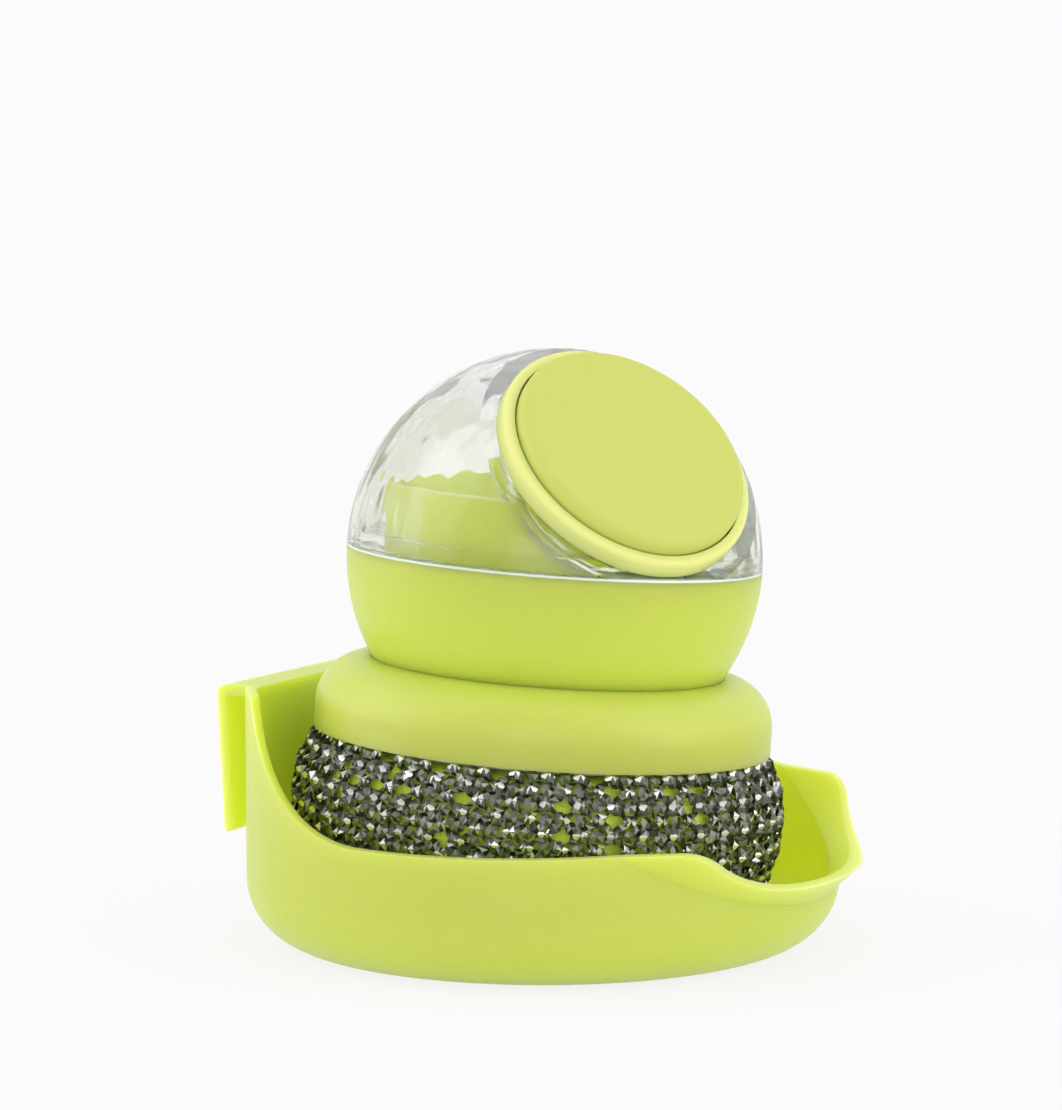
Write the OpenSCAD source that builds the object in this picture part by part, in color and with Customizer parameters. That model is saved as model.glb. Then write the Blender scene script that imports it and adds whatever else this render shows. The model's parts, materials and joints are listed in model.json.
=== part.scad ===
// Soap dispensing dish scrubber resting in its sink caddy.
// The frame sits at the centre of the caddy base, +X toward the pouring lip,
// +Z up, hook on the -X side. All sizes in millimetres.

/* [Caddy] */
// Outer radius of the caddy wall
tray_r = 48.7; // [46:0.1:56]
// Wall thickness of the caddy
tray_t = 1.8; // [1.4:0.1:2.4]
// Radius of the outer bowl shaped bottom edge
tray_fillet = 11; // [8:0.5:13]
// Height of the hook side wall above the base
back_h = 41.5; // [38:0.5:50]
// Height of the side rim above the base
side_h = 23.3; // [18:0.1:28]
// Height of the lowest point of the pouring lip
lip_h = 14.6; // [11:0.1:17]
// Radius of the sweep from the hook side down to the side rim
sweep_r = 28; // [22:0.5:32]
// Radius of the dip at the pouring lip
dip_r = 11; // [10:0.5:18]
// Sideways fall of the rim, degrees
rim_roll = 2.6; // [0:0.1:4]
// Turn of the rim outline toward the hook, degrees
rim_yaw = 2.4; // [0:0.1:4]
// Radius of the scooped underside of the lip
scoop_r = 45; // [30:1:60]
// Slope of the scooped lip, degrees from level
scoop_angle = 41; // [30:1:50]
// Upward slope of the rim toward the tip of the lip, degrees
lip_rise = 19; // [0:1:30]
// Half width of the hook and of the flat wall behind it
hook_half = 19.5; // [15:0.5:22]
// Reach of the hook from the caddy centre
hook_reach = 50.4; // [49:0.1:56]
// Thickness of the hook tab
hook_t = 1.6; // [1.4:0.1:2.2]
// Height of the lower edge of the hook tab
hook_low = 17; // [12:0.5:28]
// Inward run of the hook tab from top to bottom
hook_draft = 1.2; // [0:0.1:1.8]
// Number of drain ribs on the caddy floor
rib_count = 6; // [4:1:10]
// Width of a drain rib
rib_w = 2.2; // [1.6:0.1:3]

/* [Rest position] */
// Lean of the scrubber axis in its caddy, degrees
lean = 4; // [0:0.5:6]
// Compass direction of the lean, degrees from +X
lean_dir = 26; // [0:1:45]
// Height of the pad underside above the base at the axis
seat_z = 7.74; // [7:0.05:9]
// Set back of the pad underside against the lean
seat_back = 1.96; // [0:0.05:3]
// Clearance left under the pad and around lift out parts
gap = 0.3; // [0.2:0.05:0.4]

/* [Pad] */
// Largest radius over the metallic net
pad_r = 40; // [36:0.5:42]
// Height of the net covered pad
pad_h = 25; // [18:0.1:28]
// Thickness of the net layer
net_t = 0.8; // [0.6:0.1:1.2]
// Height of a net stud above the layer
stud_h = 0.7; // [0.3:0.05:1]
// Net studs counted around the pad, twice over
net_n = 92; // [60:2:100]
// Thickness of the carrier plate
plate_t = 2.3; // [1.6:0.1:3]
// Shadow line left between the pad and the head
pad_line = 0.6; // [0.4:0.1:1]
// Outer radius of the bayonet socket
socket_r = 17; // [16:0.25:20]
// Height of the bayonet socket above the plate
socket_h = 6.2; // [5.6:0.1:7]
// Radius of the soap well through the carrier
well_r = 5.2; // [4.6:0.1:6]
// Number of soap holes round the carrier socket
drain_count = 6; // [4:1:12]
// Radius of a soap hole
drain_r = 2.4; // [1.6:0.1:3]

/* [Head] */
// Outer radius of the head
head_r = 37.5; // [35:0.1:40]
// Height of the head
head_h = 11.9; // [10.5:0.1:14]
// Wall thickness of the head
head_t = 2; // [1.6:0.1:2.4]
// Radius of the shoulder
shoulder_r = 7.8; // [6:0.1:9]
// Depth of the seat for the soap ball
seat_depth = 0.9; // [0.6:0.1:1.4]
// Outer radius of the bayonet collar
collar_r = 13; // [12.5:0.1:14]
// Length of the bayonet collar below the top plate
collar_h = 6.4; // [5.8:0.1:6.8]
// Reach of a bayonet lug beyond the collar
lug_reach = 2.2; // [1.6:0.1:2.6]
// Height of a bayonet lug
lug_h = 1.8; // [1.4:0.1:2.4]
// Thickness of a stiffening rib under the head
rib_t = 1.2; // [0.8:0.1:1.6]
// Half angle of a bayonet lug, degrees
lug_half = 9; // [6:0.5:10]
// Turn that frees the pad, degrees
turn = 40; // [30:1:45]

/* [Soap ball] */
// Radius of the soap ball
ball_r = 34; // [31:0.1:37]
// Wall thickness of bowl and dome
ball_t = 2; // [1.6:0.1:2.6]
// Height of the ball centre above the ball foot
ball_drop = 18.9; // [16:0.1:22]
// Thickness of the sealing ring between bowl and dome
ring_t = 0.4; // [0.3:0.1:1]
// Set back of the inner collar of the bowl from the ball surface
rise_set = 5.8; // [5.2:0.1:7]
// Wall thickness of the inner collar
rise_t = 1.6; // [1.2:0.1:2]
// Height of the inner collar above the seam
rise_h = 10.5; // [6:0.1:12]
// Outer radius of the outlet neck
neck_r = 8; // [7:0.1:9]
// Length of the outlet neck below the ball foot
neck_l = 7.2; // [6.6:0.1:8]
// Bore radius of the outlet neck
neck_bore = 6.2; // [5:0.1:6.6]
// Outer radius of the neck nut
nut_r = 11; // [10:0.1:11.2]
// Height of the neck nut
nut_h = 2.2; // [1.6:0.1:2.4]
// Wall thickness of the ring that holds the outlet valve
valve_ring_t = 1.8; // [1.4:0.1:2.4]
// Thickness of the outlet valve
valve_t = 0.6; // [0.4:0.1:1]
// Length of the slitted bill of the outlet valve
bill_l = 2.4; // [1.6:0.1:2.8]
// Set back of the bill from the bore of the neck
bill_set = 2.6; // [2:0.1:3.2]

/* [Cap] */
// Elevation of the cap axis above the seam, degrees
cap_el = 44; // [38:1:52]
// Compass direction of the cap axis, degrees
cap_az = -31; // [-60:1:0]
// Depth of the cap seat below the crown of the ball
cap_sink = 10.6; // [9.5:0.1:11.5]
// Set back of the cap flange from the edge of its seat
cap_inset = 2.77; // [2:0.01:3.4]
// Height of the cap flange above its seat
cap_h = 3.2; // [3:0.1:3.8]
// Thickness of the cap floor above the seat
cap_floor = 0.8; // [0.6:0.1:1]
// Set back of the cap plug from the flange edge
plug_set = 3.2; // [2.8:0.1:3.8]
// Length of the cap plug
plug_l = 4; // [3:0.1:5]
// Width of the flange rim round the button
rim_w = 1.75; // [1.5:0.05:2.4]
// Height of the button
button_h = 3.2; // [2.6:0.1:3.8]
// Press travel of the button
press = 1.8; // [1.2:0.1:2]
// Radius of the button stem
stem_r = 4; // [3:0.1:5]

/* [Hidden] */
$fn = 96;
eps = 0.01;
cover = 60;
run_gap = 0.06;
slit_w = 0.3;
floor_z = tray_t;
inner_r = tray_r - tray_t;
flat_half = hook_half + 0.6;
flat_x = sqrt(tray_r * tray_r - flat_half * flat_half);
lip_x = tray_r + 3.1;
sweep_x = -11.5;
lip_foot = tray_r - 6.6;
lip_foot_z = lip_h - 10.1;
lip_reach = tray_r + 12;
scoop_back = 20;
corner_q = 5;
rib_in = 8;
rib_out = pad_r - 8;
plate_z = pad_h;
head_z = plate_z + pad_line;
head_top = head_z + head_h;
foot_z = head_top - seat_depth;
under_z = head_top - 2.5;
recess_r = sqrt(ball_r * ball_r - pow(ball_drop - seat_depth, 2)) + gap / 2;
ball_z = foot_z + ball_drop;
seam_low = ball_z - ring_t / 2;
seam_high = ball_z + ring_t / 2;
inside_r = ball_r - ball_t;
skirt_r = head_r - head_t;
bore_r = collar_r + gap;
groove_r = collar_r + lug_reach + 0.4;
socket_z = plate_z + plate_t;
lug_z = under_z - collar_h + 0.4;
neck_z = foot_z - neck_l;
rise_r = ball_r - rise_set;
bill_r = neck_bore - bill_set;
cap_d = ball_r - cap_sink;
cap_r = sqrt(ball_r * ball_r - cap_d * cap_d) - cap_inset;
plug_r = cap_r - plug_set;
button_r = cap_r - rim_w - gap;
port_r = plug_r + gap;
port_wall = 1.9;
port_l = 5;
guide_r = stem_r + gap;
guide_t = 1.5;
button_z = cap_d + cap_floor + press + gap / 3;
stem_z = cap_d - 5.4;
plate_r = skirt_r - 2 * gap;
silicone = [0.80, 0.86, 0.42];
lime = [0.78, 0.84, 0.28];

// Places a piece of the scrubber, drawn upright on its own axis, at rest in the caddy
module leaned() {
  translate([0, 0, seat_z])
    rotate([0, 0, lean_dir])
      translate([-seat_back, 0, 0])
        rotate([0, lean, 0])
          rotate([0, 0, -lean_dir])
            children();
}

// Places a piece drawn along +Z on the cap axis of the ball
module capped() {
  translate([0, 0, ball_z])
    rotate([0, 0, cap_az])
      rotate([0, 90 - cap_el, 0])
        children();
}

// Plain tube standing on z0
module tube(r_out, r_in, z0, z1) {
  translate([0, 0, z0])
    difference() {
      cylinder(r = r_out, h = z1 - z0);
      translate([0, 0, -1]) cylinder(r = r_in, h = z1 - z0 + 2);
    }
}

// Sector of a ring, angles in degrees
module sector(r_in, r_out, z0, z1, a0, a1) {
  rotate([0, 0, a0])
    translate([0, 0, z0])
      rotate_extrude(angle = a1 - a0)
        translate([r_in, 0]) square([r_out - r_in, z1 - z0]);
}

// Half section of a round pan with a bowl shaped bottom edge
module pan_section(r, fillet, z0) {
  translate([0, z0]) square([r - fillet, back_h - z0 + eps]);
  translate([0, z0 + fillet]) square([r, back_h - z0 - fillet + eps]);
  intersection() {
    translate([r - fillet, z0 + fillet]) circle(r = fillet);
    translate([0, z0]) square([r, fillet + 1]);
  }
}

// Solid body of the caddy inside the given radius, with flat hook side and scooped lip
module pan_body(r, fillet, z0, flat, scoop) {
  intersection() {
    rotate_extrude() pan_section(r, fillet, z0);
    translate([-flat, -cover, 0]) cube([2 * cover, 2 * cover, back_h]);
  }
  intersection() {
    translate([lip_foot, 0, lip_foot_z])
      rotate([0, 90 - scoop_angle, 0])
        translate([-scoop_r, 0, -cover]) cylinder(r = scoop, h = 2 * cover);
    translate([scoop_back, -cover, z0]) cube([lip_reach - scoop_back, 2 * cover, back_h]);
  }
}

// Rounds the corner where a level edge at height h meets a cutting circle
module corner(cx, cz, r, h, q, side) {
  run = sqrt((r + q) * (r + q) - (cz - h + q) * (cz - h + q));
  edge = sqrt(r * r - (cz - h) * (cz - h));
  tx = cx - side * run;
  difference() {
    polygon([
      [tx, h + eps],
      [cx - side * edge + side * eps, h + eps],
      [tx + side * run * q / (r + q), h - q + (cz - h + q) * q / (r + q)]
    ]);
    translate([tx, h - q]) circle(r = q);
  }
}

// Side view of everything above the rim
module rim_section() {
  dip_z = lip_h + dip_r;
  sweep_z = side_h + sweep_r;
  translate([sweep_x, side_h]) square([2 * cover, cover]);
  translate([lip_x, dip_z]) circle(r = dip_r);
  polygon([
    [lip_x, lip_h],
    [lip_x + cover, lip_h + cover * tan(lip_rise)],
    [lip_x + cover, dip_z + cover],
    [lip_x, dip_z + cover]
  ]);
  translate([sweep_x, sweep_z]) circle(r = sweep_r);
  corner(lip_x, dip_z, dip_r, side_h, corner_q, 1);
}

module tray() color(lime) {
  difference() {
    pan_body(tray_r, tray_fillet, 0, flat_x, scoop_r);
    pan_body(inner_r, tray_fillet - tray_t, floor_z, flat_x - tray_t, scoop_r - tray_t);
    rotate([rim_roll, 0, rim_yaw])
      rotate([90, 0, 0])
        translate([0, 0, -cover]) linear_extrude(height = 2 * cover) rim_section();
  }
  hook();
  ribs();
}

// Inverted U hook that hangs over the edge of a sink
module hook() {
  wall_x = flat_x - tray_t;
  top = tray_t;
  translate([0, hook_half, 0])
    rotate([90, 0, 0])
      linear_extrude(height = 2 * hook_half) {
        difference() {
          translate([-hook_reach, back_h - top]) square([hook_reach - wall_x, top]);
          translate([-hook_reach - eps, back_h - top]) square([top, top + 1]);
          translate([-wall_x - top, back_h - top]) square([top + eps, top + 1]);
        }
        intersection() {
          union() {
            translate([-hook_reach + top, back_h - top]) circle(r = top);
            translate([-wall_x - top, back_h - top]) circle(r = top);
          }
          translate([-hook_reach, back_h - top]) square([hook_reach - wall_x, top]);
        }
        polygon([
          [-hook_reach, back_h - top + eps],
          [-hook_reach + hook_t, back_h - top + eps],
          [-hook_reach + hook_t + hook_draft, hook_low + hook_t / 2],
          [-hook_reach + hook_draft, hook_low + hook_t / 2]
        ]);
        translate([-hook_reach + hook_draft + hook_t / 2, hook_low + hook_t / 2])
          circle(r = hook_t / 2);
      }
}

// Drain ribs whose tops lie in the leaning plane under the pad
module ribs() {
  intersection() {
    leaned()
      for (i = [0 : rib_count - 1])
        rotate([0, 0, (i + 0.5) * 360 / rib_count])
          translate([rib_in, -rib_w / 2, -cover]) cube([rib_out - rib_in, rib_w, cover - gap]);
    translate([0, 0, floor_z - 0.4]) cylinder(r = inner_r - tray_fillet / 2, h = cover);
  }
}

// Radius of the pad over the net at a share of its height
function belly(t) =
  pad_r - stud_h / 2 - (t < 0.62 ? 5.2 * pow(1 - t / 0.62, 2.6) : 3.3 * pow((t - 0.62) / 0.38, 2.2));

// Height steps of the net from the pad underside to the carrier
net_rows = 13;
net_low = [for (j = [0 : 2]) [pad_r - 13 + 3.4 * j, 0.35 - 0.1 * j]];
net_side = [for (j = [0 : net_rows]) [belly(j / net_rows), 0.6 + (pad_h - 0.75) * j / net_rows]];
net_back = [for (j = [6 : -1 : 0]) [belly(j / 6) - net_t - stud_h / 2, 1.2 + (pad_h - 2) * j / 6]];
net_loop = concat(net_low, net_side, net_back, [[pad_r - 13, 1.15]]);
net_last = len(net_loop) - 1;
net_studs = len(net_low) + net_rows;

// Radial share of a stud at column i of ring j
function stud(i, j) = j > net_studs || j < 1 ? 0 : (i + j) % 2 == 0 ? stud_h / 2 : -stud_h / 2;

module pad_net() color([0.55, 0.56, 0.52])
  leaned()
    polyhedron(
      points = concat(
        [[0, 0, net_loop[0][1]], [0, 0, net_loop[net_last][1]]],
        [for (j = [0 : net_last]) for (i = [0 : net_n - 1])
          let (a = 360 * i / net_n, r = net_loop[j][0] + (net_loop[j][0] > pad_r - 7 ? stud(i, j) : 0))
          [r * cos(a), r * sin(a), net_loop[j][1]]]
      ),
      faces = concat(
        [for (i = [0 : net_n - 1]) [0, 2 + i, 2 + (i + 1) % net_n]],
        [for (i = [0 : net_n - 1])
          [1, 2 + net_last * net_n + (i + 1) % net_n, 2 + net_last * net_n + i]],
        [for (j = [0 : net_last - 1]) for (i = [0 : net_n - 1])
          let (a = 2 + j * net_n + i, b = 2 + j * net_n + (i + 1) % net_n) [a, a + net_n, b]],
        [for (j = [0 : net_last - 1]) for (i = [0 : net_n - 1])
          let (a = 2 + j * net_n + i, b = 2 + j * net_n + (i + 1) % net_n) [b, a + net_n, b + net_n]]
      )
    );

module pad_foam() color(lime)
  leaned()
    difference() {
      rotate_extrude()
        polygon(concat(
          [[0, 1.25], [pad_r - 13, 1.25]],
          [for (j = [1 : 6]) [belly(j / 6) - net_t - stud_h / 2 - 0.15, 1.35 + (pad_h - 2.25) * j / 6]],
          [[0, pad_h - 0.9]]
        ));
      translate([0, 0, pad_h - 6]) cylinder(r = well_r, h = 6);
    }

module pad_plate() color([0.82, 0.85, 0.80])
  leaned() {
    difference() {
      union() {
        translate([0, 0, plate_z]) cylinder(r = plate_r, h = plate_t);
        translate([0, 0, socket_z]) cylinder(r = socket_r, h = socket_h);
      }
      translate([0, 0, plate_z - 1]) cylinder(r = well_r, h = plate_t + socket_h);
      translate([0, 0, socket_z]) cylinder(r = bore_r, h = socket_h + 1);
      for (k = [0 : 2])
        rotate([0, 0, 120 * k]) {
          sector(bore_r - 1, groove_r, lug_z - 0.4, lug_z + lug_h + 0.4, -turn - lug_half - 3, lug_half + 3);
          sector(bore_r - 1, groove_r, lug_z - 0.4, socket_z + socket_h + 1,
                 -turn - lug_half - 3, -turn + lug_half + 3);
        }
      for (k = [0 : drain_count - 1])
        rotate([0, 0, k * 360 / drain_count])
          translate([(socket_r + plate_r) / 2, 0, plate_z - 1]) cylinder(r = drain_r, h = plate_t + 2);
    }
  }

// Half section of the head, open below
module head_section(r, q, z0, z1) {
  translate([0, z0]) square([r - q, z1 - z0]);
  translate([0, z0]) square([r, z1 - q - z0]);
  translate([r - q, z1 - q]) circle(r = q);
}

module head() color(lime)
  leaned() {
    difference() {
      intersection() {
        rotate_extrude()
          difference() {
            head_section(head_r, shoulder_r, head_z, head_top);
            head_section(skirt_r, shoulder_r - head_t, head_z - 1, under_z);
            translate([-cover, 0]) square([cover, cover]);
          }
        translate([0, 0, head_z]) cylinder(r = cover, h = head_h);
      }
      translate([0, 0, foot_z]) cylinder(r = recess_r, h = seat_depth + 1);
      translate([0, 0, under_z - 1]) cylinder(r = neck_r + gap, h = 5);
    }
    tube(collar_r, collar_r - 1.5, under_z - collar_h, under_z + 0.2);
    for (k = [0 : 2])
      rotate([0, 0, 120 * k])
        sector(collar_r - 0.5, collar_r + lug_reach, lug_z, lug_z + lug_h, -lug_half, lug_half);
    for (k = [0 : 5])
      rotate([0, 0, 60 * k + 30])
        translate([socket_r + 1.5, -rib_t / 2, under_z - 3])
          cube([head_r - shoulder_r + 2.5 - socket_r, rib_t, 3.2]);
  }

module neck_nut() color([0.82, 0.85, 0.80])
  leaned()
    difference() {
      tube(nut_r, neck_r + run_gap, under_z - nut_h, under_z);
      for (k = [0 : 5])
        rotate([0, 0, 60 * k])
          translate([nut_r, 0, under_z - nut_h - 1]) cylinder(r = 1.2, h = nut_h + 2);
    }

// Room for the neck of the dome port, which dips into the bowl
module port_notch()
  capped()
    translate([0, 0, cap_d - 2 * port_l]) cylinder(r = port_r + port_wall + gap, h = ball_r);

module bowl() color(lime)
  leaned() {
    difference() {
      intersection() {
        translate([0, 0, ball_z]) sphere(r = ball_r);
        translate([0, 0, foot_z]) cylinder(r = cover, h = seam_low - foot_z);
      }
      intersection() {
        translate([0, 0, ball_z]) sphere(r = inside_r);
        translate([0, 0, foot_z + ball_t]) cylinder(r = cover, h = seam_low - foot_z - 2 * ball_t);
      }
      translate([0, 0, ball_z - 6]) cylinder(r = rise_r - rise_t, h = 12);
      translate([0, 0, foot_z - 1]) cylinder(r = neck_bore, h = 6);
      port_notch();
    }
    difference() {
      tube(rise_r, rise_r - rise_t, seam_low - 1, seam_high + rise_h);
      port_notch();
    }
    tube(neck_r, neck_bore, neck_z, foot_z + 0.5);
  }

module valve() color([0.88, 0.88, 0.84])
  leaned() {
    difference() {
      union() {
        translate([0, 0, neck_z - valve_t]) cylinder(r = neck_r - gap, h = valve_t);
        translate([0, 0, neck_z - bill_l]) cylinder(r = bill_r, h = bill_l);
        translate([0, 0, neck_z]) cylinder(r = neck_bore - gap, h = 2 * valve_t);
      }
      translate([0, 0, neck_z - bill_l + valve_t]) cylinder(r = bill_r - valve_t, h = cover);
      translate([-bill_r / 2, -slit_w / 2, neck_z - bill_l - 1]) cube([bill_r, slit_w, valve_t + 2]);
    }
  }

module valve_ring() color([0.82, 0.85, 0.80])
  leaned() {
    tube(neck_r + valve_ring_t, neck_r + run_gap, neck_z - valve_t, neck_z + valve_ring_t + 1);
    tube(neck_r + valve_ring_t, bill_r + 2 * gap, neck_z - 2 * valve_t - run_gap, neck_z - valve_t);
  }

module seal_ring() color([0.90, 0.92, 0.86])
  leaned()
    tube(ball_r - 0.15, rise_r + 1.2, seam_low, seam_high);

module dome() color([0.90, 0.93, 0.92, 0.45])
  leaned() {
    difference() {
      intersection() {
        translate([0, 0, ball_z]) sphere(r = ball_r);
        translate([0, 0, seam_high]) cylinder(r = cover, h = cover);
      }
      difference() {
        translate([0, 0, ball_z]) sphere(r = inside_r);
        intersection() {
          capped() tube(port_r + port_wall, port_r, cap_d - port_l, cap_d);
          translate([0, 0, ball_z]) sphere(r = ball_r - ball_t / 2);
        }
        tube(cover, rise_r + gap, seam_high - 1, seam_high + 2.5);
      }
      capped() translate([0, 0, cap_d]) cylinder(r = cover, h = cover);
      capped() translate([0, 0, cap_d - 2 * port_l]) cylinder(r = port_r, h = 2 * port_l + 1);
    }
  }

module fill_cap() color(silicone)
  leaned() capped() {
    difference() {
      union() {
        rotate_extrude() cap_section();
        tube(plug_r, plug_r - guide_t, cap_d - plug_l, cap_d + cap_floor / 2);
        tube(port_r - run_gap, plug_r - gap, cap_d - plug_l + 1, cap_d - plug_l + 1.6);
        translate([0, 0, cap_d - plug_l]) cylinder(r = guide_r + guide_t, h = plug_l + cap_floor / 2);
      }
      translate([0, 0, cap_d - plug_l - 1]) cylinder(r = guide_r, h = plug_l + cap_h);
    }
  }

// Half section of the cap flange with a rounded outer edge
module cap_section() {
  q = 0.9;
  top = cap_d + cap_h;
  translate([0, cap_d]) square([cap_r - q, cap_floor]);
  translate([cap_r - rim_w, cap_d]) square([rim_w - q, cap_h]);
  translate([cap_r - q - eps, cap_d]) square([q + eps, cap_h - q]);
  intersection() {
    translate([cap_r - q, top - q]) circle(r = q);
    translate([cap_r - q, top - q]) square([q, q]);
  }
}

module button() color(silicone)
  leaned() capped() {
    q = 1.7;
    rotate_extrude() {
      translate([0, button_z]) square([button_r - q, button_h]);
      translate([0, button_z]) square([button_r, button_h - q]);
      intersection() {
        translate([button_r - q, button_z + button_h - q]) circle(r = q);
        translate([button_r - q, button_z]) square([q, button_h]);
      }
    }
    translate([0, 0, stem_z]) cylinder(r = stem_r, h = button_z - stem_z + 0.1);
    translate([0, 0, stem_z]) cylinder(r = stem_r + 1, h = cap_d - plug_l - gap - stem_z);
  }

tray();
pad_foam();
pad_net();
pad_plate();
head();
neck_nut();
bowl();
valve();
valve_ring();
seal_ring();
dome();
fill_cap();
button();
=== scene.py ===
"""Dish scrubber with a clear soap ball, resting in its sink caddy."""
import json
import math

import bpy
import numpy as np
from bpy.props import (
    FloatProperty,
    FloatVectorProperty,
    IntProperty,
    PointerProperty,
)
from bpy.types import Operator, Panel, PropertyGroup
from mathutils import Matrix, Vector


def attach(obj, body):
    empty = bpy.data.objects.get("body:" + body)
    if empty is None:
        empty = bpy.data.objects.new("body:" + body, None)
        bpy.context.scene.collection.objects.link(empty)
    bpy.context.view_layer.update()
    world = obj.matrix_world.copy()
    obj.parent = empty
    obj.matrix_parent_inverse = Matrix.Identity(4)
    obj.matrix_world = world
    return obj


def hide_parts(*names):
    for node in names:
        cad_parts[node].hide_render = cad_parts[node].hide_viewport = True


bl_info = {
    "name": "Dish Scrubber in Caddy",
    "version": (1, 0, 0),
    "blender": (4, 5, 0),
    "location": "View3D > Sidebar > Scrubber",
    "description": "Builds the net covered pad, the finishes and the studio round the packed scrubber",
    "category": "Object",
}

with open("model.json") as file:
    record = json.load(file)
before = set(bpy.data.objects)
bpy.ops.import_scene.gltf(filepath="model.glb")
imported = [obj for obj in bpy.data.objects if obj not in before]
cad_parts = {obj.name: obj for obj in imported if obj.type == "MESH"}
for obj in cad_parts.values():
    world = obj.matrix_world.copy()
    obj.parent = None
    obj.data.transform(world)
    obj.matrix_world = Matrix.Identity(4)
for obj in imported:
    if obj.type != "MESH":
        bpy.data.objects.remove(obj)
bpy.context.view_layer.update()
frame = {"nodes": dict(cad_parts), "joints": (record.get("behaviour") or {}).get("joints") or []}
JOINTS = {joint["name"]: joint for joint in frame["joints"]}
PAD_AXIS = np.array(JOINTS["pad_turn"]["axis"], float)
PAD_FOOT = np.array(JOINTS["pad_turn"]["pos_m"], float)
MM = 0.001

# Share of its full reach that red, green and blue light has inside the lime plastic
LIME_REACH = (0.9, 1.0, 0.35)

# Painted highlight and painted shade on a gem's facets, in place of the reflections the metal would catch:
# six outer ones, from the lower left round by the foot, then six inner ones
STUD_PAINTED_LIGHT = [1.0, 0.1, 1.0, 0.85, 0.06, 0.85] + [0.1] * 6
# The loop gems carry painted shade, dark to stand in for the shade between the studs
LOOP_PAINTED_LIGHT = [0.15, 0.04, 0.22, 0.03, 0.1, 0.14] + [0.05] * 6
FACETS = 12

# Steps of the ribbon between two crossings, and sides of its section
RIBBON_STEPS = 4
RIBBON_SIDES = 4

# Length from the head down to the first row of the net
FIRST_ROW = 0.5 * MM

# Part of the pad's height that isn't shared out among the rows on the side
FOOT_BAND = 2.2 * MM

# Depth under the pad's outline of the surface that the net is laid on
NET_LINE = 0.62 * MM

# Name, place, width, height and power of each lamp
SOFTBOXES = (
    ("Left softbox", (-0.80, -0.40, 0.40), 0.9, 0.9, 3.3),
    ("Right softbox", (0.95, 0.05, 0.40), 0.7, 0.9, 2.9),
    ("Front softbox", (0.30, -0.85, 0.16), 0.4, 0.3, 0.7),
    ("Top softbox", (0.05, 0.10, 0.95), 0.9, 0.9, 0.9),
)


def upright_to_leaning(points):
    """Carries points drawn about +Z onto the pad axis by the shortest turn, then to the pad foot.

    With a the unit axis, k = z cross a and c = a.z, each point p goes to
    p c + (k cross p) + k (k . p) / (1 + c), plus the foot.
    """
    k = np.cross([0.0, 0.0, 1.0], PAD_AXIS)
    c = PAD_AXIS[2]
    turned = points * c + np.cross(k, points) + k * (points @ k)[..., None] / (1 + c)
    return turned + PAD_FOOT


def mesh_piece(name, points, *faces, smooth=True):
    """Puts an array of points and arrays of faces into a new object in the scene."""
    mesh = bpy.data.meshes.new(name)
    mesh.from_pydata(points.tolist(), [], [face for block in faces for face in block.tolist()])
    mesh.validate()
    mesh.polygons.foreach_set("use_smooth", np.full(len(mesh.polygons), smooth))
    mesh.update()
    piece = bpy.data.objects.new(name, mesh)
    bpy.context.scene.collection.objects.link(piece)
    return piece


def wrapped_quads(rows, columns, wrap_rows=False):
    """Quads of a rows by columns grid of points.

    The columns close on themselves, and the rows do so if asked.
    """
    last = rows if wrap_rows else rows - 1
    row, column = np.meshgrid(np.arange(last), np.arange(columns), indexing="ij")
    row_next = (row + 1) % rows
    column_next = (column + 1) % columns
    corners = [
        row * columns + column,
        row * columns + column_next,
        row_next * columns + column_next,
        row_next * columns + column,
    ]
    return np.stack(corners, axis=-1).reshape(-1, 4)


class PadSizes(PropertyGroup):
    """Sizes of the foam pad and of the net over it."""

    radius: FloatProperty(
        name="Pad radius",
        description="Largest radius over the net",
        default=40.0 * MM,
        unit="LENGTH",
    )
    height: FloatProperty(
        name="Pad height",
        description="Height of the pad below the head",
        default=25.0 * MM,
        unit="LENGTH",
    )
    crown: FloatProperty(
        name="Share of the widest ring",
        description="Share of the height where the pad is widest",
        default=0.62,
        min=0.3,
        max=0.8,
    )
    foot_tuck: FloatProperty(
        name="Foot tuck",
        description="How far the side draws in toward the foot",
        default=5.2 * MM,
        unit="LENGTH",
    )
    top_tuck: FloatProperty(
        name="Top tuck",
        description="How far the side draws in toward the head",
        default=3.3 * MM,
        unit="LENGTH",
    )
    net_depth: FloatProperty(
        name="Net depth",
        description="Thickness of the net over the foam",
        default=1.3 * MM,
        unit="LENGTH",
    )
    stitches: IntProperty(
        name="Stitches round",
        description="Stitches in one ring of the net",
        default=46,
        min=20,
        max=60,
    )
    side_rows: IntProperty(
        name="Rows on the side",
        description="Rings of net between foot and head",
        default=10,
        min=6,
        max=18,
    )
    foot_rows: IntProperty(
        name="Rows under the foot",
        description="Rings of net that gather under the pad",
        default=11,
        min=4,
        max=18,
    )
    ribbon_width: FloatProperty(
        name="Ribbon width",
        description="Width of the flat metallic ribbon",
        default=2.1 * MM,
        unit="LENGTH",
    )
    ribbon_depth: FloatProperty(
        name="Ribbon thickness",
        description="Thickness of the ribbon at its middle",
        default=0.75 * MM,
        unit="LENGTH",
    )


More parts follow.
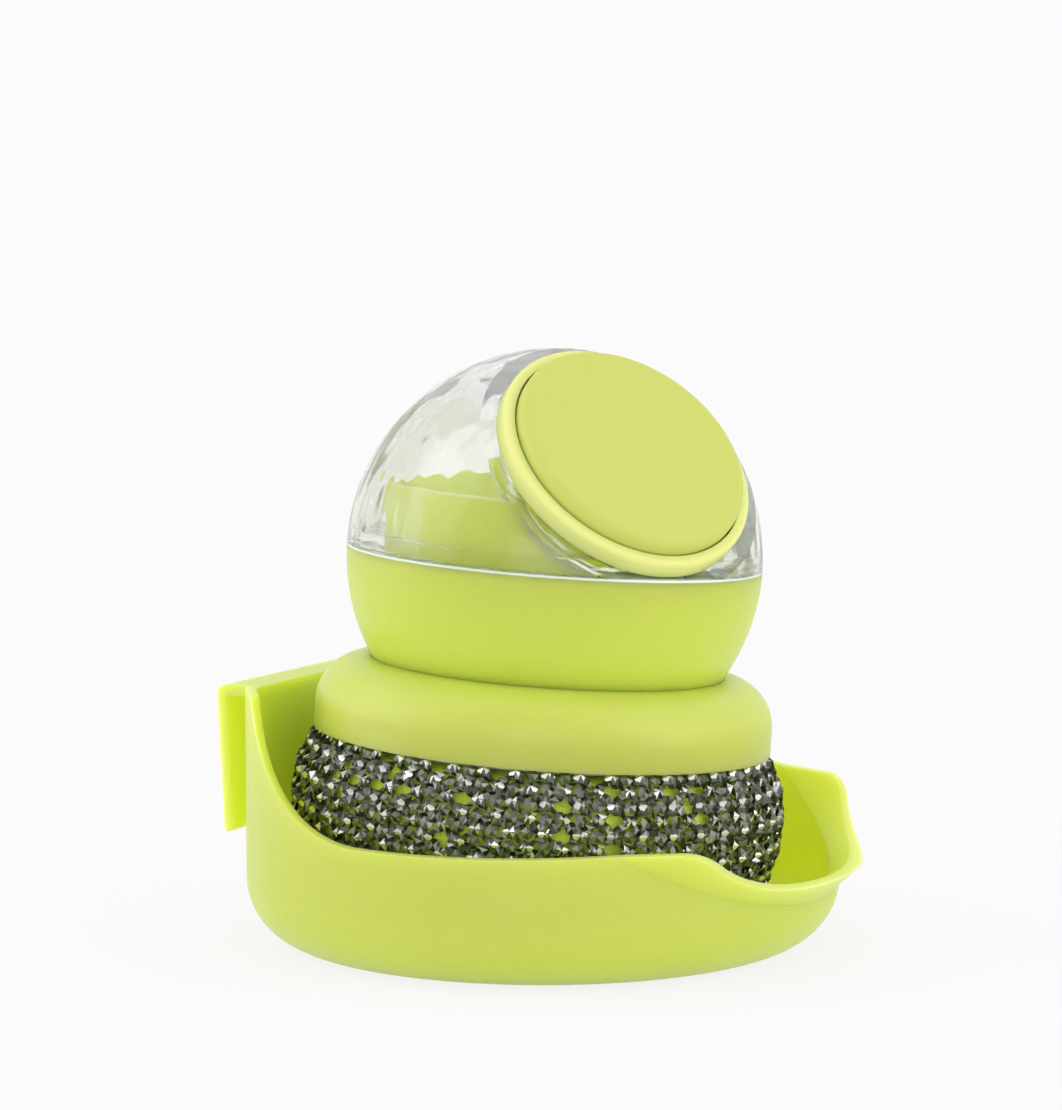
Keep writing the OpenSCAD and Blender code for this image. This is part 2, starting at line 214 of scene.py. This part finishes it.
class Finishes(PropertyGroup):
    """Colours of the materials."""

    lime: FloatVectorProperty(
        name="Lime plastic",
        description="Moulded plastic of caddy, head and bowl",
        subtype="COLOR",
        default=(0.60, 0.75, 0.095),
    )
    # The caddy plastic carries painted light: an emission that stands in for light inside the caddy, though
    # the caddy is no lamp
    caddy: FloatVectorProperty(
        name="Caddy plastic",
        description="Thinner plastic of the caddy, which glows a little",
        subtype="COLOR",
        default=(0.515, 0.63, 0.095),
    )
    painted_glow: FloatVectorProperty(
        name="Caddy glow colour",
        description="Colour of the glow that stands in for light inside the caddy",
        subtype="COLOR",
        default=(0.56, 0.64, 0.01),
    )
    # Strength of that painted light on the caddy
    painted_glow_strength: FloatProperty(
        name="Caddy glow",
        description="Strength of the caddy's glow",
        default=0.13,
        min=0.0,
    )
    silicone: FloatVectorProperty(
        name="Lime silicone",
        description="Soft button on the fill cap",
        subtype="COLOR",
        default=(0.575, 0.625, 0.135),
    )
    # Paler than the button's silicone, partly as its own colour and partly as painted light that stands in
    # for the light the flange catches
    pale: FloatVectorProperty(
        name="Pale silicone",
        description="Flange and plug of the fill cap",
        subtype="COLOR",
        default=(0.78, 0.80, 0.27),
    )
    foam: FloatVectorProperty(
        name="Foam",
        description="Foam seen through the net",
        subtype="COLOR",
        default=(0.70, 0.84, 0.08),
    )
    # Painted highlight colour of the net, laid on faces of ribbon and gems by their painted light value in
    # place of the reflections the metal would catch
    ribbon_painted_highlight: FloatVectorProperty(
        name="Bright side of the ribbon",
        description="Silvered side of the net's ribbon",
        subtype="COLOR",
        default=(0.86, 0.87, 0.84),
    )
    # Painted shade colour of the net, laid on faces of ribbon and gems by their painted light value in place
    # of dark reflections and the shade between them
    ribbon_painted_shade: FloatVectorProperty(
        name="Dark side of the ribbon",
        description="Smoky side of the net's ribbon",
        subtype="COLOR",
        default=(0.05, 0.062, 0.03),
    )
    white: FloatVectorProperty(
        name="White plastic",
        description="Carrier plate, nut and valve ring",
        subtype="COLOR",
        default=(0.80, 0.82, 0.76),
    )


class Studio(PropertyGroup):
    """Camera, floor and lamps."""

    azimuth: FloatProperty(
        name="Camera azimuth",
        description="Compass angle of the camera, degrees",
        default=26.0,
    )
    elevation: FloatProperty(
        name="Camera elevation",
        description="Angle of the camera above the horizon, degrees",
        default=5.558,
    )
    distance: FloatProperty(
        name="Camera distance",
        description="Distance from the camera to the point it aims at",
        default=648.3 * MM,
        unit="LENGTH",
    )
    aim_side: FloatProperty(
        name="Aim to the side",
        description="Sideways place of the point that the camera aims at",
        default=-1.98 * MM,
        unit="LENGTH",
    )
    aim_height: FloatProperty(
        name="Aim height",
        description="Height of the point that the camera aims at",
        default=63.3 * MM,
        unit="LENGTH",
    )
    lens: FloatProperty(
        name="Lens",
        description="Focal length for a 36 mm long side",
        default=128.7,
    )
    shadow_reach: FloatProperty(
        name="Shadow reach",
        description="Distance from the middle within which the floor keeps most of its shadow",
        default=50 * MM,
        unit="LENGTH",
    )
    plain_reach: FloatProperty(
        name="Plain reach",
        description="Distance from the middle past which the floor looks like the backdrop",
        default=160 * MM,
        unit="LENGTH",
    )
    shadow_share: FloatProperty(
        name="Backdrop share under the object",
        description="Share of the backdrop that is laid over the floor within the shadow reach",
        default=0.86,
        min=0.0,
        max=1.0,
    )
    room_light: FloatProperty(
        name="Room light",
        description="Strength of the even light from all round",
        default=0.8,
        min=0.0,
    )
    backdrop: FloatProperty(
        name="Backdrop",
        description="Grey level of floor and backdrop as the camera sees them",
        default=0.965,
        min=0.0,
        max=1.0,
    )


def plain_finish(name, colour, roughness, **sockets):
    """A Principled material whose even values sit on its own sockets."""
    material = bpy.data.materials.new(name)
    material.use_nodes = True
    shader = material.node_tree.nodes["Principled BSDF"]
    shader.inputs["Base Color"].default_value = (*colour, 1.0)
    shader.inputs["Roughness"].default_value = roughness
    for socket, value in sockets.items():
        shader.inputs[socket.replace("_", " ")].default_value = value
    return material


def noise_bump(material, stretch, detail, depth, strength=1.0):
    """Adds bump to a finish from noise on Object coordinates times a stretch."""
    tree = material.node_tree
    place = tree.nodes.new("ShaderNodeTexCoord")
    stretched = tree.nodes.new("ShaderNodeVectorMath")
    stretched.operation = "MULTIPLY"
    stretched.inputs[1].default_value = stretch
    noise = tree.nodes.new("ShaderNodeTexNoise")
    noise.inputs["Scale"].default_value = 1.0
    noise.inputs["Detail"].default_value = detail
    bump = tree.nodes.new("ShaderNodeBump")
    bump.inputs["Strength"].default_value = strength
    bump.inputs["Distance"].default_value = depth
    tree.links.new(place.outputs["Object"], stretched.inputs[0])
    tree.links.new(stretched.outputs["Vector"], noise.inputs["Vector"])
    tree.links.new(noise.outputs["Fac"], bump.inputs["Height"])
    tree.links.new(bump.outputs["Normal"], tree.nodes["Principled BSDF"].inputs["Normal"])
    return material


def fine_grain(material, scale, depth):
    """Adds a fine even grain to a finish."""
    return noise_bump(material, (scale, scale, scale), detail=3.0, depth=depth)


def seen_directly(tree):
    """Output that is 1 for rays from the camera, through glass or off metal, and 0 for all others."""
    path = tree.nodes.new("ShaderNodeLightPath")
    share = path.outputs["Is Camera Ray"]
    for ray in ("Is Transmission Ray", "Is Glossy Ray"):
        either = tree.nodes.new("ShaderNodeMath")
        either.operation = "MAXIMUM"
        tree.links.new(share, either.inputs[0])
        tree.links.new(path.outputs[ray], either.inputs[1])
        share = either.outputs["Value"]
    return share


def belly_radius(share, sizes):
    """Radius of the pad under its net at a share of its height.

    Below the crown it is R - foot (1 - s / c)^2.6, above it R - top ((s - c) / (1 - c))^2.2.
    """
    below = sizes.foot_tuck * np.clip(1 - share / sizes.crown, 0, 1) ** 2.6
    above = sizes.top_tuck * np.clip((share - sizes.crown) / (1 - sizes.crown), 0, 1) ** 2.2
    return sizes.radius - below - above


def pad_outline(sizes, inset):
    """Outline of the pad as radius and height, from the middle of the foot round its edge and up the side.

    The foot is level, its edge is a quarter ellipse, and the side follows belly_radius.
    """
    edge = 3.0 * MM
    foot_points, edge_points, side_points = 40, 12, 60
    foot_r = belly_radius(np.array([edge / sizes.height]), sizes)[0] - inset
    flat = np.linspace(0.0, foot_r - edge, foot_points)
    turn = np.linspace(0.0, math.pi / 2, edge_points)[1:]
    side = np.linspace(edge / sizes.height, 1.0, side_points)[1:]
    rounded_r = foot_r - edge + edge * np.sin(turn)
    rounded_z = inset + (edge - inset) * (1 - np.cos(turn))
    radius = np.concatenate([flat, rounded_r, belly_radius(side, sizes) - inset])
    height = np.concatenate([np.full(foot_points, inset), rounded_z, side * sizes.height])
    return radius, height


def along_outline(radius, height, where):
    """Radius and height at given lengths from an outline's top end, by linear steps between its points."""
    step = np.hypot(np.diff(radius), np.diff(height))
    length = np.concatenate([[0.0], np.cumsum(step)])
    from_top = length[-1] - where
    return np.interp(from_top, length, radius), np.interp(from_top, length, height)


class SCRUBBER_OT_finishes(Operator):
    """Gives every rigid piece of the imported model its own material"""

    bl_idname = "scrubber.finishes"
    bl_label = "Rigid finishes"

    def execute(self, context):
        colours = context.scene.scrubber_finishes
        lime = self.moulded(
            "Lime plastic", colours.lime, Subsurface_Weight=0.9, Subsurface_Scale=12 * MM
        )
        # The caddy finish carries painted light as an emission that stands in for light inside the caddy
        caddy = self.moulded(
            "Caddy plastic", colours.caddy, Subsurface_Weight=0.9, Subsurface_Scale=14 * MM,
            Emission_Color=(*colours.painted_glow, 1.0), Emission_Strength=colours.painted_glow_strength,
        )
        silicone = fine_grain(
            plain_finish(
                "Lime silicone", colours.silicone, 0.55, Subsurface_Weight=0.2, Subsurface_Scale=2 * MM,
                Specular_IOR_Level=0.35,
            ),
            scale=3200.0,
            depth=0.01 * MM,
        )
        # The fill cap's pale finish is partly its own colour and partly painted light that the flange catches
        pale = plain_finish(
            "Pale silicone", colours.pale, 0.5, Subsurface_Weight=0.4, Subsurface_Scale=4 * MM,
            Specular_IOR_Level=0.4,
        )
        clear = self.rippled(
            plain_finish(
                "Clear plastic", (0.98, 0.985, 0.98), 0.02, Transmission_Weight=1.0, IOR=1.3, Alpha=0.85,
            )
        )
        seal = plain_finish(
            "Clear silicone", (0.86, 0.88, 0.80), 0.3, Subsurface_Weight=0.3, Subsurface_Scale=2 * MM
        )
        white = plain_finish("White plastic", colours.white, 0.4)
        worn_by = {
            "tray": caddy,
            "head": lime,
            "bowl": lime,
            "fill_cap": pale,
            "button": silicone,
            "dome": clear,
            "seal_ring": seal,
            "valve": seal,
            "pad_plate": white,
            "neck_nut": white,
            "valve_ring": white,
        }
        for node, finish in worn_by.items():
            mesh = frame["nodes"][node].data
            mesh.materials.clear()
            mesh.materials.append(finish)
        return {"FINISHED"}

    def moulded(self, name, colour, **sockets):
        """Grained lime plastic that light enters, the red and green of it deepest."""
        material = plain_finish(name, colour, 0.38, Specular_IOR_Level=0.5, **sockets)
        material.node_tree.nodes["Principled BSDF"].inputs["Subsurface Radius"].default_value = LIME_REACH
        return fine_grain(material, scale=2600.0, depth=0.01 * MM)

    def rippled(self, material):
        """Gives clear plastic slow upright ripples, as bump from noise stretched along the height."""
        stretch = (150.0, 150.0, 38.0)
        return noise_bump(material, stretch, detail=1.0, depth=2 * MM, strength=0.42)


class SCRUBBER_OT_foam(Operator):
    """Makes the foam core that shows through the net"""

    bl_idname = "scrubber.foam"
    bl_label = "Foam core"

    def execute(self, context):
        points, *faces = self.core(context.scene.scrubber_pad)
        piece = mesh_piece("foam_core", upright_to_leaning(points), *faces)
        finish = plain_finish(
            "Lime foam", context.scene.scrubber_finishes.foam, 0.9,
            Subsurface_Weight=0.2, Subsurface_Scale=2 * MM,
        )
        piece.data.materials.append(fine_grain(finish, scale=1500.0, depth=0.3 * MM))
        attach(piece, "pad")
        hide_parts("pad_foam")
        return {"FINISHED"}

    def core(self, sizes):
        """Turns the outline that lies inside the net round the axis, with a swell at each stitch.

        Farther than plain_r from the axis the radius gains depth sin(stitches angle) cos(pi height / rise).
        Fans about two points on the axis close the foot and the top.
        """
        plain_r, swell_depth, swell_rise = 20 * MM, 0.12 * MM, 2.05 * MM
        shorter, lifted = 1.2 * MM, 0.2 * MM
        columns = 4 * sizes.stitches
        radius, height = pad_outline(sizes, sizes.net_depth)
        angle = np.linspace(0, 2 * math.pi, columns, endpoint=False)
        height = height * (1 - shorter / sizes.height) + lifted
        waves = np.sin(angle * sizes.stitches)[None, :] * np.cos(height / swell_rise * math.pi)[:, None]
        swell = swell_depth * waves * (radius[:, None] > plain_r)
        ring_r = np.clip(radius[:, None] + swell, 0, None)
        ring_z = np.broadcast_to(height[:, None], ring_r.shape)
        rings = np.stack([ring_r * np.cos(angle), ring_r * np.sin(angle), ring_z], axis=-1)[1:]
        rows = len(rings)
        low, high = rows * columns, rows * columns + 1
        here = np.arange(columns)
        beside = (here + 1) % columns
        top = (rows - 1) * columns
        low_fan = np.stack([np.full(columns, low), beside, here], axis=-1)
        high_fan = np.stack([np.full(columns, high), top + here, top + beside], axis=-1)
        centres = np.array([[0, 0, height[0]], [0, 0, height[-1]]])
        points = np.concatenate([rings.reshape(-1, 3), centres])
        return points, wrapped_quads(rows, columns), low_fan, high_fan


class SCRUBBER_OT_net(Operator):
    """Knits the metallic ribbon net over the foam"""

    bl_idname = "scrubber.net"
    bl_label = "Metallic net"

    def execute(self, context):
        sizes = context.scene.scrubber_pad
        finish = self.painted_reflection_ribbon(context.scene.scrubber_finishes)
        rows = sizes.side_rows + sizes.foot_rows
        # The ribbon's per-face colour is painted light: mostly painted shade, with a rare painted glint, set
        # by random draws
        rare, bright, dark, spread, dull = 0.05, 0.6, 0.02, 0.22, 0.6
        glint_draws = self.scattered(2 * sizes.stitches * RIBBON_STEPS * RIBBON_SIDES * rows)
        ribbon_painted_light = np.where(glint_draws < rare, bright, dark + spread * glint_draws**2)
        ribbons = self.put("net_ribbons", self.zigzag_rings(sizes), ribbon_painted_light, finish)
        studs = self.gems(sizes, 0, width=1.15 * MM, rise=0.72 * MM, tilt=0.05)
        # Each stud's painted highlights are scaled by a random painted glint, so that they sparkle
        glint = dull + (1 - dull) * self.scattered(len(studs[1]) // FACETS)
        self.put("net_studs", studs, np.outer(glint, STUD_PAINTED_LIGHT).ravel(), finish)
        # Loop gems with painted shade that stands in for the shade between the studs
        loops = self.gems(sizes, 1, width=1.1 * MM, rise=0.3 * MM, tilt=0.3, fill=0.72)
        self.put("net_loops", loops, np.tile(LOOP_PAINTED_LIGHT, len(loops[1]) // FACETS), finish)
        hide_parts("pad_net")
        return {"FINISHED"}

    def put(self, name, shape, painted_light, finish):
        """One piece of the net, with a painted light value on each face that sets its painted highlight or
        painted shade, riding on the pad.
        """
        points, faces = shape
        piece = mesh_piece(name, upright_to_leaning(points), faces, smooth=False)
        painted_light_values = piece.data.attributes.new("painted_light", "FLOAT", "FACE")
        painted_light_values.data.foreach_set("value", painted_light.astype(np.float32))
        piece.data.materials.append(finish)
        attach(piece, "pad")
        return piece

    def scattered(self, count):
        """Numbers from 0 to 1 that look random: the last digits of a large multiple of a sine."""
        return np.abs(np.sin(np.arange(count) * 12.9898 + 4.1) * 43758.5453) % 1.0

    def painted_reflection_ribbon(self, colours):
        """Metal whose colour mixes a painted shade and a painted highlight by the mesh's own per-face painted
        light attribute.
        """
        # The net's colour is painted light: painted shade and painted highlight mixed per face
        finish = plain_finish("Metallic ribbon with painted reflections", colours.ribbon_painted_highlight, 0.3, Metallic=0.8)
        tree = finish.node_tree
        painted_light = tree.nodes.new("ShaderNodeAttribute")
        painted_light.attribute_name = "painted_light"
        light_and_shade_mix = tree.nodes.new("ShaderNodeMix")
        light_and_shade_mix.data_type = "RGBA"
        light_and_shade_mix.inputs["A"].default_value = (*colours.ribbon_painted_shade, 1.0)
        light_and_shade_mix.inputs["B"].default_value = (*colours.ribbon_painted_highlight, 1.0)
        tree.links.new(painted_light.outputs["Fac"], light_and_shade_mix.inputs["Factor"])
        tree.links.new(light_and_shade_mix.outputs["Result"], tree.nodes["Principled BSDF"].inputs["Base Color"])
        return finish

    def surface(self, where, angle, out, sizes):
        """Point of the net at a length down from the head and an angle round, moved out along the normal."""
        radius, height = pad_outline(sizes, NET_LINE)
        near = 0.2 * MM
        r, z = along_outline(radius, height, where)
        r_up, z_up = along_outline(radius, height, where - near)
        r_down, z_down = along_outline(radius, height, where + near)
        slope_r, slope_z = r_up - r_down, z_up - z_down
        size = np.hypot(slope_r, slope_z)
        normal_r, normal_z = slope_z / size, -slope_r / size
        r = r + out * normal_r
        z = z + out * normal_z
        return np.stack([r * np.cos(angle), r * np.sin(angle), z], axis=-1), normal_r, normal_z

    def row_length(self, sizes):
        """Length of outline that one row of half stitches takes."""
        return (sizes.height - FOOT_BAND) / sizes.side_rows

    def zigzag_rings(self, sizes):
        """Each ring runs round the pad as a zigzag whose corners touch the rings above and below.

        With u the turn counted in half stitches, the ring lies at row j + tri(u), where tri goes 0, 1, 0, and
        stands out by a rise that is least at the corners. The ribbon's section is a flat diamond that makes
        half a turn from corner to corner, a little uneven from stitch to stitch, so that its faces catch the
        light one after another. Toward the middle of the foot it narrows.
        """
        stand, uneven, full_width_r, least_width = 0.28 * MM, 0.35, 30 * MM, 0.3
        turns = 2 * sizes.stitches
        rows = sizes.side_rows + sizes.foot_rows
        pitch = self.row_length(sizes)
        u = np.arange(turns * RIBBON_STEPS) / RIBBON_STEPS
        row = np.arange(rows)[:, None]
        tri = 1 - np.abs((u + row) % 2 - 1)
        where = FIRST_ROW + pitch * (row + tri)
        angle = np.broadcast_to(2 * math.pi * u / turns, where.shape)
        lift = stand * np.sin(math.pi * (u % 1.0))
        twist = math.pi * (u + 0.5 * row) + uneven * np.sin(7.3 * np.floor(u) + 3.1 * row)
        centre, normal_r, normal_z = self.surface(where, angle, np.broadcast_to(lift, where.shape), sizes)
        out = np.stack([normal_r * np.cos(angle), normal_r * np.sin(angle), normal_z], axis=-1)
        along = np.roll(centre, -1, axis=1) - np.roll(centre, 1, axis=1)
        along /= np.linalg.norm(along, axis=-1, keepdims=True)
        across = np.cross(out, along)
        across /= np.linalg.norm(across, axis=-1, keepdims=True)
        out = np.cross(along, across)
        centre_r = np.hypot(centre[..., 0], centre[..., 1])
        shrink = np.clip(centre_r / full_width_r, least_width, 1)[..., None]
        cos, sin = np.cos(twist)[..., None], np.sin(twist)[..., None]
        flat = across * cos + out * sin
        thin = out * cos - across * sin
        w, d = sizes.ribbon_width / 2 * shrink, sizes.ribbon_depth / 2 * shrink
        corners = [centre + flat * w, centre + thin * d, centre - flat * w, centre - thin * d]
        section = np.stack(corners, axis=2)
        rings, count = section.shape[0], section.shape[1]
        faces = wrapped_quads(count, RIBBON_SIDES, wrap_rows=True)
        first = (np.arange(rings) * count * RIBBON_SIDES)[:, None, None]
        all_faces = (faces[None] + first).reshape(-1, 4)
        return section.reshape(-1, 3), all_faces

    def gems(self, sizes, parity, width, rise, tilt, fill=1.0):
        """Eight cornered gems on every second crossing of the rows and half stitches, tips outward.

        Gem (j, k) stands at row j and half stitch k where j + k has the parity, and a share of them given by
        fill is kept. Its six rim points lie on an ellipse across the surface normal, its back on the normal,
        and its tip on the normal and then a quarter of the rise toward the head. Sines of j and k tilt it.
        Under the foot, where the pad stands on the drain ribs, the gems are pressed flatter.
        """
        stand, back_depth, squash, tip_shift = 0.36 * MM, 0.6 * MM, 0.95, 0.25
        foot_press, full_size_r, least_size = 0.35, 32 * MM, 0.3
        corners = 6
        rows = np.arange(sizes.side_rows + sizes.foot_rows)
        turns = 2 * sizes.stitches
        j, k = np.meshgrid(rows, np.arange(turns), indexing="ij")
        keep = ((j + k) % 2 == parity) & (self.scattered(j.size).reshape(j.shape) < fill)
        j, k = j[keep], k[keep]
        angle = 2 * math.pi * k / turns
        where = FIRST_ROW + self.row_length(sizes) * j
        pressed = np.where(where < sizes.height, 1.0, foot_press)
        centre, normal_r, normal_z = self.surface(where, angle, stand * pressed, sizes)
        out = np.stack([normal_r * np.cos(angle), normal_r * np.sin(angle), normal_z], axis=-1)
        side = np.stack([-np.sin(angle), np.cos(angle), np.zeros_like(angle)], axis=-1)
        up = np.cross(out, side)
        out = out + side * tilt * np.sin(12.9898 * j + 78.233 * k)[:, None]
        out = out + up * tilt * np.sin(39.346 * j + 11.135 * k)[:, None]
        out /= np.linalg.norm(out, axis=-1, keepdims=True)
        up = np.cross(out, side)
        up /= np.linalg.norm(up, axis=-1, keepdims=True)
        side = np.cross(up, out)
        centre_r = np.hypot(centre[:, 0], centre[:, 1])
        shrink = np.clip(centre_r / full_size_r, least_size, 1)[:, None]
        start = (tilt * np.sin(5.1 * j + 2.3 * k))[:, None]
        rim_angle = np.arange(corners) * 2 * math.pi / corners - math.pi + start
        rim = (
            centre[:, None, :]
            + side[:, None, :] * (np.cos(rim_angle) * width * shrink)[..., None]
            + up[:, None, :] * (np.sin(rim_angle) * squash * width * shrink)[..., None]
        )
        tip = centre + (out + up * tip_shift) * rise * pressed[:, None] * shrink
        back = centre - out * back_depth * shrink
        points = np.concatenate([rim, tip[:, None, :], back[:, None, :]], axis=1)
        a = np.arange(corners)
        b = (a + 1) % corners
        outer = np.stack([a, b, np.full(corners, corners)], axis=-1)
        inner = np.stack([b, a, np.full(corners, corners + 1)], axis=-1)
        first = (np.arange(len(points)) * (corners + 2))[:, None, None]
        faces = (np.concatenate([outer, inner])[None] + first).reshape(-1, 3)
        return points.reshape(-1, 3), faces


class SCRUBBER_OT_stage(Operator):
    """Sets the camera, the pale floor and the soft lamps"""

    bl_idname = "scrubber.stage"
    bl_label = "Studio"

    def execute(self, context):
        studio = context.scene.scrubber_studio
        self.camera(context, studio)
        self.floor(context, studio)
        self.world(context, studio)
        for name, place, width, height, watts in SOFTBOXES:
            self.softbox(context, name, Vector(place), width, height, watts)
        context.scene.view_settings.view_transform = "Standard"
        return {"FINISHED"}

    def camera(self, context, studio):
        turn, rise = math.radians(studio.azimuth), math.radians(studio.elevation)
        back = Vector((math.sin(turn) * math.cos(rise), -math.cos(turn) * math.cos(rise), math.sin(rise)))
        aim = Vector((studio.aim_side * math.cos(turn), studio.aim_side * math.sin(turn), studio.aim_height))
        data = bpy.data.cameras.new("Camera")
        data.sensor_width = 36.0
        data.lens = studio.lens
        data.clip_start = 0.01
        camera = bpy.data.objects.new("Camera", data)
        camera.location = aim + back * studio.distance
        camera.rotation_mode = "QUATERNION"
        camera.rotation_quaternion = (-back).to_track_quat("-Z", "Y")
        context.scene.collection.objects.link(camera)
        context.scene.camera = camera

    def floor(self, context, studio):
        reach = 6.0
        corners = np.array([[-reach, -reach, 0], [reach, -reach, 0], [reach, reach, 0], [-reach, reach, 0]])
        floor = mesh_piece("Floor", corners, np.array([[0, 1, 2, 3]]))
        material = plain_finish("Floor", (0.9, 0.9, 0.9), 0.8)
        tree = material.node_tree
        shown = tree.nodes.new("ShaderNodeEmission")
        shown.inputs["Color"].default_value = (studio.backdrop, studio.backdrop, studio.backdrop, 1.0)
        place = tree.nodes.new("ShaderNodeTexCoord")
        distance = tree.nodes.new("ShaderNodeVectorMath")
        distance.operation = "LENGTH"
        plain = tree.nodes.new("ShaderNodeMapRange")
        plain.inputs["From Min"].default_value = studio.shadow_reach
        plain.inputs["From Max"].default_value = studio.plain_reach
        plain.inputs["To Min"].default_value = studio.shadow_share
        share = tree.nodes.new("ShaderNodeMath")
        share.operation = "MULTIPLY"
        mix = tree.nodes.new("ShaderNodeMixShader")
        tree.links.new(place.outputs["Object"], distance.inputs[0])
        tree.links.new(distance.outputs["Value"], plain.inputs["Value"])
        tree.links.new(seen_directly(tree), share.inputs[0])
        tree.links.new(plain.outputs["Result"], share.inputs[1])
        tree.links.new(share.outputs["Value"], mix.inputs["Fac"])
        tree.links.new(tree.nodes["Principled BSDF"].outputs["BSDF"], mix.inputs[1])
        tree.links.new(shown.outputs["Emission"], mix.inputs[2])
        tree.links.new(mix.outputs["Shader"], tree.nodes["Material Output"].inputs["Surface"])
        floor.data.materials.append(material)

    def world(self, context, studio):
        world = bpy.data.worlds.new("Pale room")
        world.use_nodes = True
        tree = world.node_tree
        lit = tree.nodes["Background"]
        lit.inputs["Color"].default_value = (1.0, 1.0, 1.0, 1.0)
        lit.inputs["Strength"].default_value = studio.room_light
        shown = tree.nodes.new("ShaderNodeBackground")
        shown.inputs["Color"].default_value = (studio.backdrop, studio.backdrop, studio.backdrop, 1.0)
        mix = tree.nodes.new("ShaderNodeMixShader")
        tree.links.new(seen_directly(tree), mix.inputs["Fac"])
        tree.links.new(lit.outputs["Background"], mix.inputs[1])
        tree.links.new(shown.outputs["Background"], mix.inputs[2])
        tree.links.new(mix.outputs["Shader"], tree.nodes["World Output"].inputs["Surface"])
        context.scene.world = world

    def softbox(self, context, name, place, width, height, watts):
        data = bpy.data.lights.new(name, "AREA")
        data.shape = "RECTANGLE"
        data.size = width
        data.size_y = height
        data.energy = watts
        lamp = bpy.data.objects.new(name, data)
        lamp.location = place
        lamp.rotation_mode = "QUATERNION"
        middle = Vector((0, 0, 50 * MM))
        lamp.rotation_quaternion = (middle - place).to_track_quat("-Z", "Y")
        context.scene.collection.objects.link(lamp)


class SCRUBBER_PT_build(Panel):
    """Lists the build steps in the sidebar."""

    bl_idname = "SCRUBBER_PT_build"
    bl_label = "Dish scrubber"
    bl_space_type = "VIEW_3D"
    bl_region_type = "UI"
    bl_category = "Scrubber"

    def draw(self, context):
        for step in STEPS:
            self.layout.operator(step.bl_idname)
        for group in ("scrubber_pad", "scrubber_finishes", "scrubber_studio"):
            sizes = getattr(context.scene, group)
            for name in sizes.bl_rna.properties.keys():
                if name not in {"rna_type", "name"}:
                    self.layout.prop(sizes, name)


STEPS = (
    SCRUBBER_OT_stage,
    SCRUBBER_OT_finishes,
    SCRUBBER_OT_foam,
    SCRUBBER_OT_net,
)
GROUPS = {"scrubber_pad": PadSizes, "scrubber_finishes": Finishes, "scrubber_studio": Studio}


def register():
    for group, kind in GROUPS.items():
        bpy.utils.register_class(kind)
        setattr(bpy.types.Scene, group, PointerProperty(type=kind))
    for kind in (*STEPS, SCRUBBER_PT_build):
        bpy.utils.register_class(kind)


def unregister():
    for kind in (SCRUBBER_PT_build, *reversed(STEPS)):
        bpy.utils.unregister_class(kind)
    for group, kind in GROUPS.items():
        delattr(bpy.types.Scene, group)
        bpy.utils.unregister_class(kind)


def main():
    register()
    bpy.ops.scrubber.stage()
    bpy.ops.scrubber.finishes()
    bpy.ops.scrubber.foam()
    bpy.ops.scrubber.net()


if __name__ == "__main__":
    main()
